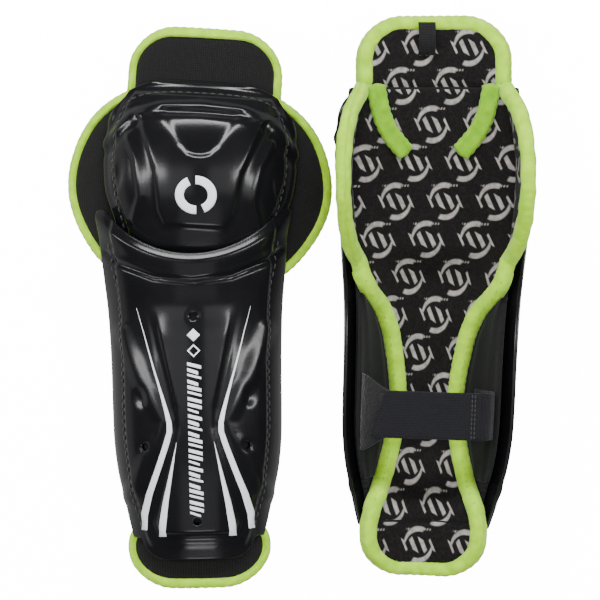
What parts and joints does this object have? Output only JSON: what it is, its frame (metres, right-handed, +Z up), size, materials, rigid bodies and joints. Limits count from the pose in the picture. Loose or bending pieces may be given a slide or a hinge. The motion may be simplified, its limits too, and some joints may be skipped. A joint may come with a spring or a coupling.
{
  "type": "ice hockey shin guards",
  "caption": "Pair of junior hockey shin guards: hard knee and shin shells over a padded liner with bound edges, padded side wings, top flap, tongue and calf strap.",
  "frame": {"origin": "the middle of the pair's footprint, on the surface that the guards lie on", "axes": "+Z up, +Y along the guards towards the knees, +X to the right as seen from above with the knees away"},
  "size_m": [0.316, 0.3795, 0.0888],
  "materials": {
    "black_shell": "gloss, with a fine mould texture",
    "black_thread": "twisted polyester",
    "black_foam": "fabric-faced foam",
    "black_mesh": "fine ribbed knit",
    "lime_binding": "soft woven binding",
    "black_panel": "smooth brushed knit",
    "grey_elastic": "woven elastic",
    "grey_webbing": "woven webbing",
    "black_hook": "hook tape",
    "black_loop": "brushed loop pile",
    "black_webbing": "flat webbing"
  },
  "bodies": {
    "left_shin": {"left_shin_shell": "black_shell", "left_shin_stitching": "black_thread", "left_backing_foam": "black_foam", "left_shin_liner": "black_mesh", "left_outer_shin_binding": "lime_binding", "left_inner_shin_binding": "lime_binding", "left_outer_calf_panel": "black_panel", "left_inner_calf_panel": "black_panel", "left_strap_anchor": "grey_elastic", "left_loop_panel": "black_loop"},
    "left_knee": {"left_knee_cap": "black_shell", "left_knee_stitching": "black_thread", "left_knee_foam": "black_foam", "left_knee_liner": "black_mesh", "left_outer_notch_binding": "lime_binding", "left_inner_notch_binding": "lime_binding"},
    "left_flap": {"left_top_flap": "black_mesh", "left_top_flap_binding": "lime_binding", "left_hang_loop": "black_webbing"},
    "left_outer_wing": {"left_outer_wing": "black_mesh", "left_outer_wing_binding": "lime_binding"},
    "left_inner_wing": {"left_inner_wing": "black_mesh", "left_inner_wing_binding": "lime_binding"},
    "left_tongue": {"left_tongue": "black_mesh", "left_tongue_binding": "lime_binding"},
    "left_strap": {"left_strap_elastic": "grey_elastic"},
    "left_strap_tab": {"left_strap_tab": "grey_webbing", "left_hook_patch": "black_hook"},
    "right_shin": {"right_shin_shell": "black_shell", "right_shin_stitching": "black_thread", "right_backing_foam": "black_foam", "right_shin_liner": "black_mesh", "right_outer_shin_binding": "lime_binding", "right_inner_shin_binding": "lime_binding", "right_outer_calf_panel": "black_panel", "right_inner_calf_panel": "black_panel", "right_strap_anchor": "grey_elastic", "right_loop_panel": "black_loop"},
    "right_knee": {"right_knee_cap": "black_shell", "right_knee_stitching": "black_thread", "right_knee_foam": "black_foam", "right_knee_liner": "black_mesh", "right_outer_notch_binding": "lime_binding", "right_inner_notch_binding": "lime_binding"},
    "right_flap": {"right_top_flap": "black_mesh", "right_top_flap_binding": "lime_binding", "right_hang_loop": "black_webbing"},
    "right_outer_wing": {"right_outer_wing": "black_mesh", "right_outer_wing_binding": "lime_binding"},
    "right_inner_wing": {"right_inner_wing": "black_mesh", "right_inner_wing_binding": "lime_binding"},
    "right_tongue": {"right_tongue": "black_mesh", "right_tongue_binding": "lime_binding"},
    "right_strap": {"right_strap_elastic": "grey_elastic"},
    "right_strap_tab": {"right_strap_tab": "grey_webbing", "right_hook_patch": "black_hook"}
  },
  "joints": [
    {"name": "left_knee_hinge", "type": "hinge", "parent": "left_shin", "child": "left_knee", "pos_m": [-0.07087, 0.024, 0.014], "axis": [0.9998, 0.0175, 0], "range_deg": [-20, 1.5], "stiffness_Nm_per_rad": 30},
    {"name": "left_flap_hinge", "type": "hinge", "parent": "left_knee", "child": "left_flap", "pos_m": [-0.06441, 0.13601, 0.032], "axis": [0.9983, -0.0576, 0], "range_deg": [-25, 8], "stiffness_Nm_per_rad": 1.2},
    {"name": "left_outer_wing_hinge", "type": "hinge", "parent": "left_knee", "child": "left_outer_wing", "pos_m": [-0.12511, 0.08221, 0.019], "axis": [-0.0576, -0.9983, 0], "range_deg": [-8, 84], "stiffness_Nm_per_rad": 0.6},
    {"name": "left_inner_wing_hinge", "type": "hinge", "parent": "left_knee", "child": "left_inner_wing", "pos_m": [-0.0103, 0.07559, 0.019], "axis": [0.0576, 0.9983, 0], "range_deg": [-8, 84], "stiffness_Nm_per_rad": 0.6},
    {"name": "left_tongue_hinge", "type": "hinge", "parent": "left_shin", "child": "left_tongue", "pos_m": [-0.06785, -0.14898, 0.023], "axis": [0.9998, 0.0175, 0], "range_deg": [-6, 20], "stiffness_Nm_per_rad": 0.8},
    {"name": "left_strap_root", "type": "hinge", "parent": "left_shin", "child": "left_strap", "pos_m": [-0.11207, -0.07974, 0.0084], "axis": [-0.0175, 0.9998, 0], "range_deg": [0, 95], "stiffness_Nm_per_rad": 0.4},
    {"name": "left_strap_seam", "type": "hinge", "parent": "left_strap", "child": "left_strap_tab", "pos_m": [-0.10087, -0.07954, 0], "axis": [-0.0175, 0.9998, 0], "range_deg": [0, 90], "stiffness_Nm_per_rad": 0.2},
    {"name": "right_knee_hinge", "type": "hinge", "parent": "right_shin", "child": "right_knee", "pos_m": [0.08839, 0.03026, 0.05558], "axis": [-0.9994, 0.0349, 0], "range_deg": [-20, 1.5], "stiffness_Nm_per_rad": 30},
    {"name": "right_flap_hinge", "type": "hinge", "parent": "right_knee", "child": "right_flap", "pos_m": [0.08842, 0.14349, 0.04603], "axis": [-1, 0.0001, -0.0026], "range_deg": [-25, 8], "stiffness_Nm_per_rad": 1.2},
    {"name": "right_outer_wing_hinge", "type": "hinge", "parent": "right_knee", "child": "right_outer_wing", "pos_m": [0.14589, 0.08547, 0.05486], "axis": [0.0001, -0.9972, -0.0749], "range_deg": [-57, 35], "stiffness_Nm_per_rad": 0.6},
    {"name": "right_inner_wing_hinge", "type": "hinge", "parent": "right_knee", "child": "right_inner_wing", "pos_m": [0.03089, 0.08548, 0.05456], "axis": [-0.0001, 0.9972, 0.0749], "range_deg": [-57, 35], "stiffness_Nm_per_rad": 0.6},
    {"name": "right_tongue_hinge", "type": "hinge", "parent": "right_shin", "child": "right_tongue", "pos_m": [0.08239, -0.14148, 0.03363], "axis": [-0.9994, 0.0349, 0], "range_deg": [-6, 20], "stiffness_Nm_per_rad": 0.8},
    {"name": "right_strap_root", "type": "hinge", "parent": "right_shin", "child": "right_strap", "pos_m": [0.12776, -0.07431, 0.05344], "axis": [0.0348, 0.9966, 0.075], "range_deg": [0, 95], "stiffness_Nm_per_rad": 0.4},
    {"name": "right_strap_seam", "type": "hinge", "parent": "right_strap", "child": "right_strap_tab", "pos_m": [0.11655, -0.07455, 0.06181], "axis": [0.0348, 0.9966, 0.075], "range_deg": [0, 90], "stiffness_Nm_per_rad": 0.2},
    {"name": "right_guard_lift", "type": "slide", "parent": "left_shin", "child": "right_shin", "axis": [0, 0, 1], "range_m": [0, 0.12]}
  ]
}
